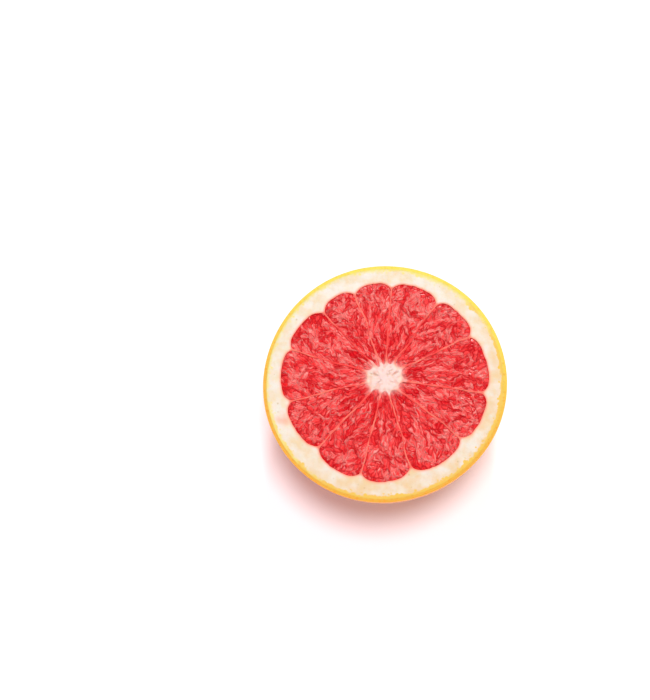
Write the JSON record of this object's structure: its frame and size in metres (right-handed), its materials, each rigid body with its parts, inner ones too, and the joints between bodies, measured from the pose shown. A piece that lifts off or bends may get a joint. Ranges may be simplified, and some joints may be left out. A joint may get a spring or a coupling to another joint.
{
  "type": "grapefruit half",
  "caption": "Half of a red grapefruit cut across its equator, lying on its dome with the cut face up: rind, pith with membranes and core, and pulp segments.",
  "frame": {"origin": "middle of the small flat spot under the dome, on the surface that the half rests on", "axes": "+Z up, out of the cut face; +Y is up in the picture and +X is right in the picture, as seen on the cut face"},
  "size_m": [0.1105, 0.1096, 0.0507],
  "materials": {
    "rind": "waxy pored skin, golden yellow with an orange blush",
    "pith": "soft cream, faintly fibrous",
    "pulp": "wet red juice sacs"
  },
  "bodies": {
    "root": {"rind": "rind", "pith": "pith", "segment_01": "pulp", "segment_02": "pulp", "segment_03": "pulp", "segment_04": "pulp", "segment_05": "pulp", "segment_06": "pulp", "segment_07": "pulp", "segment_08": "pulp", "segment_09": "pulp", "segment_10": "pulp", "segment_11": "pulp", "segment_12": "pulp"}
  },
  "joints": []
}
